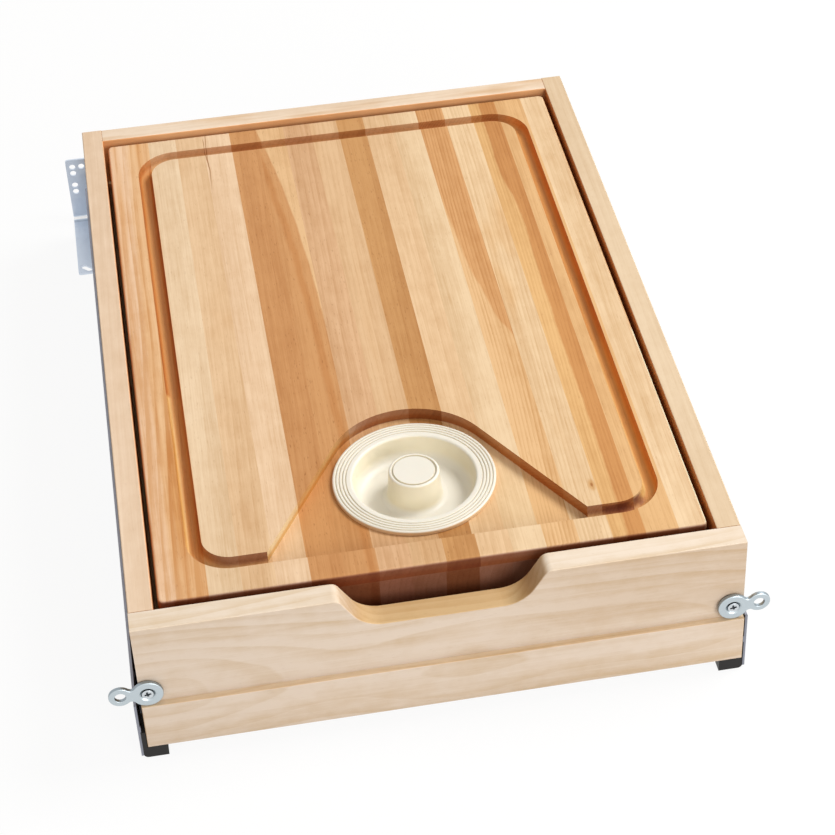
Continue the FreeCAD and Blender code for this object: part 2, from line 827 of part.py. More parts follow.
def lock_pivot():
    """The lever's pivot, in plan."""
    x0, x1, y0, y1 = lock_box()
    return Vec((x0 + x1) / 2, y1 - lever_hub_radius, 0)


def lock_screws(side):
    """The two screws that hold one locking device to the bottom panel, and their holes' shape."""
    x0, x1, y0, y1 = lock_box()
    z0 = panel_recess - lock_height
    sink = lock_screw_head_radius - lock_screw_radius
    solids = []
    for x in (x0 + lock_screw_inset, x1 - lock_screw_inset):
        start = Vec(side * x, y0 + lock_screw_inset, z0)
        shank = Part.makeCylinder(lock_screw_radius, lock_height + lock_screw_bite, start, Z_AXIS)
        head = Part.makeCone(lock_screw_head_radius, lock_screw_radius, sink, start, Z_AXIS)
        solids.append(join([shank, head]))
    return solids


def lock_body():
    """The right locking device, with a tooth under the drawer rail and a lever boss."""
    x0, x1, y0, y1 = lock_box()
    z0 = panel_recess - lock_height
    pivot = lock_pivot()
    tooth_top = high_lip - lock_tooth_air
    tooth_y0 = (y0 + y1 - lock_tooth_depth) / 2
    tooth_y1 = tooth_y0 + lock_tooth_depth
    tooth_low = tooth_top - lock_tooth_height
    boss_length = lever_air + lever_thickness + lever_boss_end
    shape = join([
        block(x0, x1, y0, y1, z0, panel_recess),
        block(x1, channel_inner + lip_reach / 2, tooth_y0, tooth_y1, tooth_low, tooth_top),
        block(x1 - lock_tooth_height, x1, tooth_y0, tooth_y1, tooth_low, z0),
        Part.makeCylinder(lever_boss_radius, boss_length, Vec(pivot.x, pivot.y, z0 - boss_length), Z_AXIS),
    ])
    return shape.cut(lock_screws(1))


def lock_lever():
    """The right release lever, swung by a finger under the drawer."""
    pivot = lock_pivot()
    z1 = panel_recess - lock_height - lever_air
    z0 = z1 - lever_thickness
    half = lever_arm_width / 2
    shape = join([
        Part.makeCylinder(lever_hub_radius, lever_thickness, Vec(0, 0, z0)),
        block(-lever_arm_length, 0, -half, half, z0, z1),
        Part.makeCylinder(lever_pad_radius, lever_thickness, Vec(-lever_arm_length, 0, z0)),
    ])
    shape = shape.cut(Part.makeCylinder(lever_boss_radius + lever_boss_play, lever_thickness, Vec(0, 0, z0)))
    shape.rotate(Vec(0, 0, 0), Z_AXIS, lever_angle_deg)
    shape.translate(Vec(pivot.x, pivot.y, 0))
    return shape


def make_drawer():
    save("drawer_front", front())
    both_sides("drawer_side", side_panel())
    save("drawer_back", back_panel())
    save("bottom_panel", bottom_panel())
    save("corner_dowels", dowels())
    both_sides("board_cleat", cleat())
    save("cleat_screws", group(cleat_screws(1) + cleat_screws(-1)))
    pair("fastener_screw", clip_screw_with_recess(clip_right_inset), clip_screw_with_recess(clip_left_inset))
    pair("fastener", clip(clip_right_inset, clip_right_tilt_deg), clip(clip_left_inset, clip_left_tilt_deg))


def make_board():
    staves()
    save("scrap_plug", plug())


def make_runners():
    bracket_shift = rail_outer + channel_inner
    left_rivets, right_rivets = rivets(0), rivets(bracket_shift)
    save("cabinet_rail_right", on_runner(cabinet_rail().cut(right_rivets)))
    save("cabinet_rail_left", on_runner(mirror(cabinet_rail()).cut(left_rivets)))
    both_runners("middle_rail", middle_rail())
    both_runners("drawer_rail", drawer_rail())
    low_strip = web_top + roll_gap / 2 - carriage_strip / 2
    high_strip = plate_under - roll_gap / 2 - carriage_strip / 2
    low_pad = low_flange + rail_sheet + carriage_air
    high_pad = high_lip + rail_sheet + carriage_air
    both_runners("lower_carriage", carriage(lower_carriage_start, cabinet_sheet, low_strip, low_pad))
    both_runners("upper_carriage", carriage(upper_carriage_start, rail_sheet, high_strip, high_pad))
    both_runners("lower_rollers", rollers(lower_carriage_start, web_top + roll_gap / 2))
    both_runners("upper_rollers", rollers(upper_carriage_start, plate_under - roll_gap / 2))
    save("end_cap_right", on_runner(end_cap(side_adjustment)))
    save("end_cap_left", on_runner(mirror(end_cap(-side_adjustment))))
    save("rear_bracket_left", on_runner(bracket(0)))
    save("rear_bracket_right", on_runner(bracket(bracket_shift)))
    save("bracket_rivets", on_runner(group(left_rivets + right_rivets)))


def make_locks():
    both_sides("locking_device", lock_body())
    both_sides("release_lever", lock_lever())
    save("lock_screws", group(lock_screws(1) + lock_screws(-1)))


make_drawer()
make_board()
make_runners()
make_locks()
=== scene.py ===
"""The looks of the cutting board drawer: its woods, moulded plastics and plated steel. Metres."""
import json
import math

import bmesh
import bpy
from mathutils import Euler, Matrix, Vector


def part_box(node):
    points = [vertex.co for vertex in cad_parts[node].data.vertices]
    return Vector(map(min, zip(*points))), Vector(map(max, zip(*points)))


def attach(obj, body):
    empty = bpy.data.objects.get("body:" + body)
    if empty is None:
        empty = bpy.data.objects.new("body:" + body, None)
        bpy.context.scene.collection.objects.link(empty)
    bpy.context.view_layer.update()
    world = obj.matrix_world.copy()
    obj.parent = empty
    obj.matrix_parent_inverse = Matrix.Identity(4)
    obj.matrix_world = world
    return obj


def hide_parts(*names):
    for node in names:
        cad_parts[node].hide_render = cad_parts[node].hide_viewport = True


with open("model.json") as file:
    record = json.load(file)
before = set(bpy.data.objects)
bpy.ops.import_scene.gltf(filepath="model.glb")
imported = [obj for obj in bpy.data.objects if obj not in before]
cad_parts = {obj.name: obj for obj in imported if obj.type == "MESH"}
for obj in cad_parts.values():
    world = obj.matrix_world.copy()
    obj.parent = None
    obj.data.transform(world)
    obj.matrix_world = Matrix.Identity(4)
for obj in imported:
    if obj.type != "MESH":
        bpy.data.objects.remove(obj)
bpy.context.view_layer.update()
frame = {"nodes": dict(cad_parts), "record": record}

MM = 0.001
nodes = frame["nodes"]
mounts = {mount["name"]: Vector(mount["pos_m"]) for mount in frame["record"]["mounts"]}

LEFTWARD, RIGHTWARD = (-1.0, 0.0, 0.0), (1.0, 0.0, 0.0)
FORWARD, BACKWARD = (0.0, -1.0, 0.0), (0.0, 1.0, 0.0)
UPWARD = (0.0, 0.0, 1.0)


def colour(text):
    """A written screen colour such as EBCFAE as the linear colour that a shader takes."""
    channels = [int(text[i:i + 2], 16) / 255 for i in (0, 2, 4)]
    return tuple(c / 12.92 if c <= 0.04045 else ((c + 0.055) / 1.055) ** 2.4 for c in channels) + (1.0,)


def scaled(tone, *factors):
    """A linear colour with each channel scaled."""
    return tuple(c * f for c, f in zip(tone, factors)) + (1.0,)


class Shader:
    """One material's nodes, added by short calls. Places are the object's own coordinates."""

    def __init__(self, name, **surface):
        self.material = bpy.data.materials.new(name)
        self.material.use_nodes = True
        self.nodes = self.material.node_tree.nodes
        self.links = self.material.node_tree.links
        self.surface = self.nodes["Principled BSDF"]
        for socket, value in surface.items():
            self.set(self.surface.inputs[socket.replace("_", " ")], value)
        where = self.nodes.new("ShaderNodeTexCoord")
        self.place = where.outputs["Object"]
        self.facing = where.outputs["Normal"]

    def set(self, socket, value):
        """Link a socket into an input, or write a plain value there."""
        if isinstance(value, bpy.types.NodeSocket):
            self.links.new(value, socket)
        else:
            socket.default_value = value

    def add(self, kind, values=(), output=0, **settings):
        """One node with its settings and inputs in order. None leaves an input alone."""
        node = self.nodes.new("ShaderNode" + kind)
        for name, value in settings.items():
            setattr(node, name, value)
        for socket, value in zip(node.inputs, values):
            if value is not None:
                self.set(socket, value)
        return node.outputs[output]

    def math(self, operation, *values):
        return self.add("Math", values, operation=operation)

    def vector(self, operation, *values):
        return self.add("VectorMath", values, operation=operation)

    def measure(self, operation, *values):
        """A vector operation that gives a number."""
        node = self.nodes.new("ShaderNodeVectorMath")
        node.operation = operation
        for socket, value in zip(node.inputs, values):
            self.set(socket, value)
        return node.outputs["Value"]

    def total(self, *values):
        result = values[0]
        for value in values[1:]:
            result = self.math("ADD", result, value)
        return result

    def mix(self, factor, a, b, blend="MIX"):
        node = self.nodes.new("ShaderNodeMix")
        node.data_type = "RGBA"
        node.blend_type = blend
        for index, value in ((0, factor), (6, a), (7, b)):
            self.set(node.inputs[index], value)
        return node.outputs[2]

    def times(self, base, factor):
        """A colour with each channel scaled."""
        return self.mix(1.0, base, factor + (1.0,), "MULTIPLY")

    def tinted(self, share, base, factor):
        """A colour that is scaled where the share is 1 and left alone where it is 0."""
        return self.mix(share, base, self.times(base, factor))

    def step(self, value, low, high):
        """A smooth rise from 0 to 1 between two values."""
        return self.add("MapRange", (value, low, high), interpolation_type="SMOOTHSTEP")

    def noise(self, place, per_metre, detail=2.0, rough=0.5, output=0):
        """Noise with its own number of waves per metre along each axis."""
        stretched = self.vector("MULTIPLY", place, per_metre)
        return self.add("TexNoise", (stretched, None, 1.0, detail, rough), output)

    def centred(self, value, amount):
        """A 0 to 1 value as a swing either side of nothing."""
        return self.math("MULTIPLY", self.math("SUBTRACT", value, 0.5), amount)

    def bump(self, height, distance, strength):
        normal = self.add("Bump", (strength, distance, None, height))
        self.set(self.surface.inputs["Normal"], normal)

    def paint(self, tone, roughness):
        """Set the colour and roughness, and give the finished material."""
        self.set(self.surface.inputs["Base Color"], tone)
        self.set(self.surface.inputs["Roughness"], roughness)
        return self.material


def curve(tree, value, points):
    """A smooth function of a value, through (value, result) points."""
    low_in, high_in = points[0][0], points[-1][0]
    results = [result for _, result in points]
    low_out, high_out = min(results), max(results)
    share = tree.add("MapRange", (value, low_in, high_in, 0.0, 1.0))
    node = tree.nodes.new("ShaderNodeFloatCurve")
    line = node.mapping.curves[0]
    for index, (at, result) in enumerate(points):
        x = (at - low_in) / (high_in - low_in)
        y = (result - low_out) / (high_out - low_out)
        if index in (0, len(points) - 1):
            line.points[-1 if index else 0].location = (x, y)
        else:
            line.points.new(x, y)
    node.mapping.update()
    tree.set(node.inputs[1], share)
    return tree.add("MapRange", (node.outputs[0], 0.0, 1.0, low_out, high_out))


# What a wood looks like before its piece gives it a tone
WOOD = {
    "along": "Y",           # the way the grain runs
    "ring": 3.4 * MM,       # distance between growth rings
    "pith": (60, 18),       # where the tree's middle lay, in mm from the piece's middle, across and up
    "lean": (0.6, 0.8),     # how the tree leaned against the piece, in degrees
    "sway": (14, 2.2),      # how far the tree wandered, in mm, and how often in a metre
    "rings": 0.22,          # strength of the growth rings
    "streaks": 0.30,        # strength of streaks a few millimetres wide
    "fibres": 0.36,         # strength of single fibres
    "drift": 0.60,          # strength of slow changes of tone
    "figure": 0.40,         # strength of the soft figure across the grain
    "flecks": 0.22,         # strength of small dark flecks
    "contrast": (0.84, 0.75, 0.64),   # the dark wood against the light wood
    "roughness": 0.54,
}

LIGHTEST = (1.09, 1.11, 1.13)       # the lightest wood against the written tone
FLECK = (0.50, 0.38, 0.26)
SEED_SHIFT = (1.37, 2.11, 0.73)     # how far one seed's grain lies from the next, in metres
LATE_WOOD = (0.30, 0.93)            # the part of a year in which the wood darkens


def wood(name, tone, middle, seed, features=(), tints=(), **changes):
    """A solid wood: rings round a pith, streaks, fibres, figure and flecks, then its tints."""
    look = {**WOOD, **changes}
    tree = Shader(name, Specular_IOR_Level=0.22)
    place = tree.place
    if look["along"] == "X":
        x, y, z = (tree.add("SeparateXYZ", (place,), axis) for axis in range(3))
        place = tree.add("CombineXYZ", (y, x, z))
        middle = (middle[1], middle[0], middle[2])
    pith_x, pith_z = look["pith"]
    shifted = tree.vector("ADD", place, tuple(seed * shift for shift in SEED_SHIFT))
    wander = tree.noise(shifted, (3.0, look["sway"][1], 3.0), 1.0, output=1)
    wander = tree.vector("SUBTRACT", wander, (0.5, 0.5, 0.5))
    wander = tree.vector("MULTIPLY", wander, (look["sway"][0] * MM, 0.0, look["sway"][0] * MM))
    pith = (middle[0] + pith_x * MM, middle[1], middle[2] - pith_z * MM)
    from_pith = tree.vector("SUBTRACT", tree.vector("ADD", place, wander), pith)
    turned = tree.nodes.new("ShaderNodeVectorRotate")
    turned.rotation_type = "EULER_XYZ"
    tree.set(turned.inputs["Vector"], from_pith)
    lean_up, lean_across = (math.radians(angle) for angle in look["lean"])
    turned.inputs["Rotation"].default_value = (lean_up, 0, lean_across)
    across = tree.vector("MULTIPLY", turned.outputs[0], (1.0, 0.0, 1.0))
    years = tree.math("DIVIDE", tree.measure("LENGTH", across), look["ring"])
    years = tree.math("ADD", years, tree.centred(tree.noise(shifted, (28, 1.6, 28)), 1.6))
    season = tree.math("FRACT", years)
    late = tree.math("MULTIPLY", tree.step(season, *LATE_WOOD), tree.step(season, 1.0, LATE_WOOD[1]))
    year_tone = tree.add("TexWhiteNoise", (None, tree.math("FLOOR", years)), noise_dimensions="1D")
    rings = tree.total(tree.centred(late, 0.9), tree.centred(year_tone, 0.6))
    streaks = tree.step(tree.noise(shifted, (150, 3.0, 150), 3.0, 0.6), 0.28, 0.72)
    fibres = tree.step(tree.noise(shifted, (1100, 26, 1100), 3.0, 0.6), 0.28, 0.72)
    drift = tree.step(tree.noise(shifted, (34, 2.4, 34), 2.0), 0.30, 0.70)
    figure = tree.noise(shifted, (95, 60, 95), 3.0, 0.6)
    amount = tree.total(
        0.42,
        tree.math("MULTIPLY", rings, look["rings"]),
        tree.centred(streaks, look["streaks"]),
        tree.centred(fibres, look["fibres"]),
        tree.centred(drift, look["drift"]),
        tree.centred(figure, look["figure"] * 2),
    )
    light = scaled(tone, *LIGHTEST)
    dark = scaled(tone, *look["contrast"])
    grain = tree.mix(tree.math("MINIMUM", tree.math("MAXIMUM", amount, 0.0), 1.0), light, dark)
    for feature in features:
        grain = feature(tree, grain)
    flecks = tree.step(tree.noise(shifted, (1300, 210, 1300), 1.0), 0.66, 0.76)
    grain = tree.tinted(tree.math("MULTIPLY", flecks, look["flecks"]), grain, FLECK)
    for share, factor in tints:
        grain = tree.tinted(share(tree), grain, factor)
    roughness = tree.total(look["roughness"], tree.centred(fibres, 0.12))
    tree.bump(tree.total(fibres, streaks), 0.05 * MM, 0.4)
    return tree.paint(grain, roughness)


# Shares, from 0 to 1, by the way a face looks and by place. They are made for a tree when it is built
def looking(direction, low, high, both_ways=True):
    """The share of a face that looks along a direction."""
    def share(tree):
        dot = tree.measure("DOT_PRODUCT", tree.facing, direction)
        return tree.step(tree.math("ABSOLUTE", dot) if both_ways else dot, low, high)
    return share


def steep(low=0.30, high=0.97):
    """The share of a face that neither looks up nor down."""
    level = looking(UPWARD, low, high)
    return lambda tree: tree.math("SUBTRACT", 1.0, level(tree))


def rising(axis, start, end):
    """A share that grows along an axis from one place to another."""
    return lambda tree: tree.step(tree.add("SeparateXYZ", (tree.place,), axis), start, end)


def below(height, fall):
    """A share that grows under a height."""
    return rising(2, height, height - fall)


def both(one, other):
    """The share of a face that has two shares at once."""
    return lambda tree: tree.math("MULTIPLY", one(tree), other(tree))


def middle_of(name):
    """The middle of a node's box."""
    return tuple((a + b) / 2 for a, b in zip(*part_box(name)))


def finish_node(name, material):
    """Give a node that stays as it is its material."""
    for material_slot in nodes[name].material_slots:
        material_slot.material = material


# The cutting board. The features of its staves lie at (across, back) in mm from its left front corner
board_left, board_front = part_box("stave_01")[0].x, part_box("stave_08")[0].y
board_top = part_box("stave_08")[1].z


def board_place(tree):
    """Millimetres across and back from the board's left front corner."""
    x, y = (tree.add("SeparateXYZ", (tree.place,), axis) for axis in range(2))
    return (tree.math("DIVIDE", tree.math("SUBTRACT", x, board_left), MM),
            tree.math("DIVIDE", tree.math("SUBTRACT", y, board_front), MM))


def beyond_line(tree, points, wander):
    """How far to the right of a line through (back, across) points a place lies, in mm."""
    across, back = board_place(tree)
    wobble = tree.centred(tree.noise(tree.place, (22, 26, 22), 4.0, 0.6), wander * 2)
    return tree.math("SUBTRACT", tree.math("ADD", across, wobble), curve(tree, back, points))


def heart(points, factor, right=True, wander=1.0, soft=0.7):
    """Darker heartwood to one side of a line along the stave."""
    def feature(tree, grain):
        side = beyond_line(tree, points, wander)
        share = tree.step(side, -soft, soft) if right else tree.step(side, soft, -soft)
        return tree.tinted(share, grain, factor)
    return feature


def vein(points, until, width=0.35, wander=1.2, factor=(0.50, 0.33, 0.19)):
    """A thin dark mineral line from the board's back, fading out near a place on its way to the front."""
    fade = 55

    def feature(tree, grain):
        side = tree.math("ABSOLUTE", beyond_line(tree, points, wander))
        back = board_place(tree)[1]
        line = tree.step(side, width * 1.8, width * 0.4)
        return tree.tinted(tree.math("MULTIPLY", line, tree.step(back, until, until + fade)), grain, factor)
    return feature


def away_from(tree, across, back, half_across, half_back, wobble):
    """How far a place lies from a spot on the board, in half sizes of the spot."""
    here = board_place(tree)
    a = tree.math("DIVIDE", tree.math("SUBTRACT", here[0], across), half_across)
    b = tree.math("DIVIDE", tree.math("SUBTRACT", here[1], back), half_back)
    return tree.math("ADD", tree.measure("LENGTH", tree.add("CombineXYZ", (a, b, 0.0))), wobble)


def knot(across, back, size):
    """A small knot, drawn out along the grain, with a halo."""
    halo, core, stretch = (0.86, 0.72, 0.54), (0.55, 0.34, 0.18), 2.2

    def feature(tree, grain):
        wobble = tree.centred(tree.noise(tree.place, (420, 160, 420), 3.0), 0.8)
        away = away_from(tree, across, back, size, size * stretch, wobble)
        ringed = tree.tinted(tree.step(away, 2.4, 1.0), grain, halo)
        return tree.mix(tree.step(away, 1.0, 0.3), ringed, tree.times(grain, core))
    return feature


def scorch(across, back, half_across, half_back):
    """A soft burn that a cutter left on the groove's wall and floor."""
    burnt = (0.50, 0.36, 0.42)

    def feature(tree, grain):
        wobble = tree.centred(tree.noise(tree.place, (260, 200, 260), 4.0, 0.6), 1.1)
        away = away_from(tree, across, back, half_across, half_back, wobble)
        cut = below(board_top - 1.0 * MM, 1.5 * MM)(tree)
        return tree.tinted(tree.math("MULTIPLY", tree.step(away, 1.2, 0.3), cut), grain, burnt)
    return feature


def bloom(low, high, factor, across_waves=30, along_waves=4):
    """A tint in soft patches, with so many waves in a metre."""
    def feature(tree, grain):
        waves = (across_waves, along_waves, across_waves)
        patches = tree.noise(tree.vector("ADD", tree.place, (3.1, 7.7, 1.9)), waves, 3.0)
        return tree.tinted(tree.step(patches, low, high), grain, factor)
    return feature


UNDER_GROOVE = board_top - 7.8 * MM            # just under the juice groove's floor
LIP_END = board_top - 8.4 * MM                 # where the front edge turns lighter on its way down
POCKET_END = board_front + 200 * MM            # behind the pocket and in front of the back groove
FRONT_ROUND_END = board_front + 6 * MM
RIGHT_GROOVE = (board_left + 290 * MM, board_left + 300 * MM)

pocket_half = rising(1, POCKET_END, POCKET_END - 5 * MM)
front_edge = both(steep(), rising(1, FRONT_ROUND_END, FRONT_ROUND_END - 1 * MM))
looks_forward_or_back = looking(FORWARD, 0.35, 0.95)
looks_forward = looking(FORWARD, 0.35, 0.95, both_ways=False)
looks_left = looking(LEFTWARD, 0.3, 0.9, both_ways=False)
looks_right = looking(RIGHTWARD, 0.3, 0.9, both_ways=False)


def groove_depth(tree):
    """The share of the juice groove's lower half, which is not as deep as the pocket's floor. It is darkened
    there as painted shade.
    """
    deep = below(board_top - 3.0 * MM, 3.0 * MM)(tree)
    deeper = below(UNDER_GROOVE, 0.5 * MM)(tree)
    return tree.math("SUBTRACT", deep, deeper)


# Tints of the cut walls and edges, partly for oil and end grain and partly painted shade and painted light.
# They were tuned against the photograph. As painted shade, the faces under the top turn a little warmer,
# and the groove's lower half, the steep walls, the faces that look left or right, the walls that face
# forward in the board's front part and the board's front edge turn darker. As painted light, the faces that
# look forward or back, the left-facing walls at the right groove, the walls that face right in the board's
# front part and the front edge's lower part turn lighter
BOARD_TINTS = (
    (below(board_top - 1.0 * MM, 6.0 * MM), (1.00, 0.97, 0.90)),
    (groove_depth, (0.90, 0.72, 0.50)),
    (steep(), (0.78, 0.56, 0.38)),
    (looks_forward_or_back, (1.02, 1.13, 1.40)),
    (looks_left, (0.92, 0.74, 0.60)),
    (both(looks_forward, pocket_half), (0.61, 0.53, 0.56)),
    (both(looks_left, rising(0, *RIGHT_GROOVE)), (1.50, 1.50, 1.30)),
    (looks_right, (0.90, 0.80, 0.68)),
    (both(looks_right, pocket_half), (1.44, 2.50, 3.80)),
    (front_edge, (0.62, 0.47, 0.44)),
    (both(front_edge, below(LIP_END, 0.3 * MM)), (1.20, 1.50, 2.00)),
)

# The staves from the left. What a stave doesn't name is as in WOOD
STAVES = [
    dict(tone="DFBD9C", seed=1, streaks=0.85, drift=1.0, rings=0.70, pith=(95, 30), ring=5.2 * MM,
         contrast=(0.86, 0.70, 0.52),
         features=[heart([(0, 13), (160, 10), (330, 12), (496, 15)], (0.95, 0.86, 0.70), wander=3, soft=3),
                   bloom(0.52, 0.66, (0.86, 0.70, 0.50), 60, 3)]),
    dict(tone="DFC5A4", seed=2, streaks=0.20, rings=0.14),
    dict(tone="D9B892", seed=3, streaks=0.24, rings=0.20,
         features=[bloom(0.5, 0.7, (0.95, 0.90, 0.84), 20, 9)]),
    dict(tone="E1C3A2", seed=4, streaks=0.20, rings=0.14,
         features=[vein([(0, 71.5), (380, 71.8), (440, 72.6), (465, 72.0), (496, 70.5)], 405),
                   vein([(0, 71.5), (440, 72.6), (470, 72.9), (496, 74.0)], 425, 0.25, 0.8)]),
    dict(tone="C08B59", seed=5, streaks=0.34, rings=0.22, flecks=0.5),
    dict(tone="D5AE81", seed=6, streaks=0.34, rings=0.22, flecks=0.4,
         features=[heart([(0, 135), (306, 131), (330, 129.5), (374, 127), (440, 120), (496, 112)],
                         (0.80, 0.63, 0.48), right=False),
                   vein([(0, 129), (306, 123), (374, 119), (440, 112), (496, 106)],
                        -60, 2.2, 3.0, (0.90, 0.80, 0.68))]),
    dict(tone="CFA780", seed=7, streaks=0.45, rings=0.30, flecks=0.4),
    dict(tone="D1AD85", seed=8, streaks=0.34, rings=0.24,
         features=[bloom(0.5, 0.72, (0.94, 0.88, 0.80), 40, 3)]),
    dict(tone="BD8C58", seed=9, streaks=0.36, rings=0.26, flecks=0.5),
    dict(tone="D8B790", seed=10, streaks=0.26, rings=0.20, drift=0.6),
    dict(tone="DABE99", seed=11, streaks=0.20, rings=0.16),
    dict(tone="D5AD7E", seed=12, streaks=0.40, rings=0.60, ring=1.7 * MM, pith=(44, 26), lean=(0.5, 1.3),
         contrast=(0.82, 0.71, 0.56),
         features=[heart([(0, 262), (190, 257), (230, 248), (256, 244.5), (306, 238.5), (400, 234.5),
                          (496, 234)], (0.87, 0.73, 0.60), wander=1.4, soft=1.0)]),
    dict(tone="DABC95", seed=13, streaks=0.34, rings=0.40, ring=2.2 * MM, pith=(60, 30), lean=(0.8, 0.6),
         features=[knot(273.5, 49.5, 1.3), bloom(0.52, 0.72, (0.95, 0.86, 0.74), 40, 6)]),
    dict(tone="D4A972", seed=14, streaks=0.45, rings=0.42, ring=1.9 * MM, pith=(50, 24), lean=(0.6, 1.1),
         features=[heart([(0, 285), (120, 286), (250, 285.5), (330, 287.5), (410, 283), (496, 285)],
                         (0.78, 0.60, 0.46), wander=2.2, soft=1.0),
                   scorch(285, 30, 14, 4)]),
    dict(tone="D1A775", seed=15, streaks=0.34, rings=0.24, drift=0.7,
         features=[scorch(297, 36, 9, 4.5)]),
    dict(tone="DDC19C", seed=16, streaks=0.26, rings=0.18, drift=0.6),
]
for number, look in enumerate(STAVES, 1):
    node = f"stave_{number:02d}"
    look["tone"] = colour(look["tone"])
    finish_node(node, wood(node + "_wood", middle=middle_of(node), tints=BOARD_TINTS, **look))

# The drawer box. Its inner faces take a warm orange painted shade
PAINTED_INNER_SHADE = (0.97, 0.64, 0.38)
END_GRAIN = (0.90, 0.82, 0.72)
BOX_SEED = 31
BOX_WOOD = {"streaks": 0.3, "fibres": 0.2, "drift": 0.4, "flecks": 0.1, "contrast": (0.88, 0.82, 0.74)}
BOX_WOODS = {
    "drawer_front": dict(tone="CCBBAA", along="X", inward=BACKWARD, pith=(50, 8), lean=(0.8, 1.4),
                         rings=0.42, ring=5.2 * MM, sway=(26, 5.0), streaks=0.35, drift=0.5, figure=0.5,
                         contrast=(0.92, 0.84, 0.70)),
    "drawer_side_left": dict(tone="DFC6AC", rings=0.15, inward=RIGHTWARD),
    "drawer_side_right": dict(tone="D3BC9E", rings=0.15, inward=LEFTWARD, painted_inner_shade=(0.90, 0.39, 0.15)),
    "drawer_back": dict(tone="E0CCB6", along="X", rings=0.15, inward=FORWARD, drift=0.9,
                        features=[bloom(0.46, 0.70, (0.88, 0.77, 0.64), 10, 90)]),
    "board_cleat_left": dict(tone="D9B98E", rings=0.25),
    "board_cleat_right": dict(tone="D9B98E", rings=0.25),
    "corner_dowels": dict(tone="D9B183", rings=0.2),
}


def front_tints(node):
    """The drawer front's painted light and shade: its upward faces lighter, the faces under its top (the
    notch's floor among them) darker, its ledge lighter again with its front strip a little darker, and its
    left end and the right of its upper face darker.
    """
    low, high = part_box(node)
    level = looking(UPWARD, 0.2, 0.9)
    under_top = both(level, below(high.z - 3 * MM, 9 * MM))
    ledge = both(level, below(high.z - 40 * MM, 9 * MM))
    upper_face = both(looking(FORWARD, 0.5, 0.9), rising(2, low.z + 40 * MM, low.z + 50 * MM))
    return [
        (level, (1.18, 1.21, 1.21)),
        (under_top, (0.77, 0.61, 0.38)),
        (ledge, (1.38, 1.62, 2.30)),
        (both(ledge, rising(1, low.y + 5 * MM, low.y)), (0.93, 0.88, 0.80)),
        (looks_left, (0.95, 0.84, 0.70)),
        (both(upper_face, rising(0, 0.0, high.x - 60 * MM)), (0.91, 0.87, 0.82)),
    ]


for index, (node, look) in enumerate(BOX_WOODS.items()):
    look = {**BOX_WOOD, **look, "tone": colour(look["tone"])}
    inward, painted_inner_shade = look.pop("inward", None), look.pop("painted_inner_shade", PAINTED_INNER_SHADE)
    tints = [(looking(RIGHTWARD if look.get("along") == "X" else BACKWARD, 0.35, 0.95), END_GRAIN)]
    # Faces that look into the box are darkened to warm orange as painted shade
    if inward:
        tints.append((looking(inward, 0.4, 0.9, both_ways=False), painted_inner_shade))
    if node == "drawer_front":
        tints += front_tints(node)
    material = wood(node + "_wood", middle=middle_of(node), seed=BOX_SEED + index, tints=tints, **look)
    finish_node(node, material)


def plywood(name, tone):
    """Rotary cut birch, with its layers on the edges."""
    layers = 5
    low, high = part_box(name)
    tree = Shader(name + "_ply", Specular_IOR_Level=0.35)
    place = tree.place
    z = tree.add("SeparateXYZ", (place,), 2)
    layer = tree.math("DIVIDE", tree.math("SUBTRACT", z, low.z), (high.z - low.z) / layers)
    odd = tree.math("MODULO", tree.math("FLOOR", layer), 2.0)
    streaks = tree.noise(place, (9, 3.0, 9), 3.0)
    waves = tree.noise(place, (90, 5, 90), 3.0)
    fibres = tree.noise(place, (1100, 30, 1100))
    amount = tree.total(
        tree.centred(streaks, 1.2), tree.centred(waves, 0.8), tree.centred(fibres, 0.4), 0.4)
    face = tree.mix(amount, scaled(tone, 1.06, 1.08, 1.1), scaled(tone, 0.82, 0.74, 0.62))
    upright = tree.math("ABSOLUTE", tree.add("SeparateXYZ", (tree.facing,), 2))
    edge = tree.math("MULTIPLY", tree.math("SUBTRACT", 1.0, tree.step(upright, 0.3, 0.6)), odd)
    tree.bump(fibres, 0.04 * MM, 0.5)
    return tree.paint(tree.mix(edge, face, scaled(tone, 0.55, 0.42, 0.30)), 0.5)


finish_node("bottom_panel", plywood("bottom_panel", colour("E6CFA6")))


def plastic(name, tone, roughness, tints=(), **surface):
    """A moulded plastic: slow unevenness, fine spark-eroded grain, a few rubbed places and tints by place."""
    tree = Shader(name, **surface)
    cloud = tree.noise(tree.place, (45, 45, 45), 3.0)
    fine = tree.noise(tree.place, (2600, 2600, 2600), 2.0)
    body = tree.mix(cloud, scaled(tone, 0.96, 0.955, 0.94), scaled(tone, 1.02, 1.02, 1.02))
    rubbed = tree.step(tree.noise(tree.place, (160, 160, 160), 4.0), 0.52, 0.70)
    for share, factor in tints:
        body = tree.tinted(share(tree), body, factor)
    tree.bump(fine, 0.02 * MM, 0.6)
    rough = tree.total(roughness, tree.math("MULTIPLY", rubbed, -0.08), tree.centred(cloud, 0.06))
    return tree.paint(body, rough)


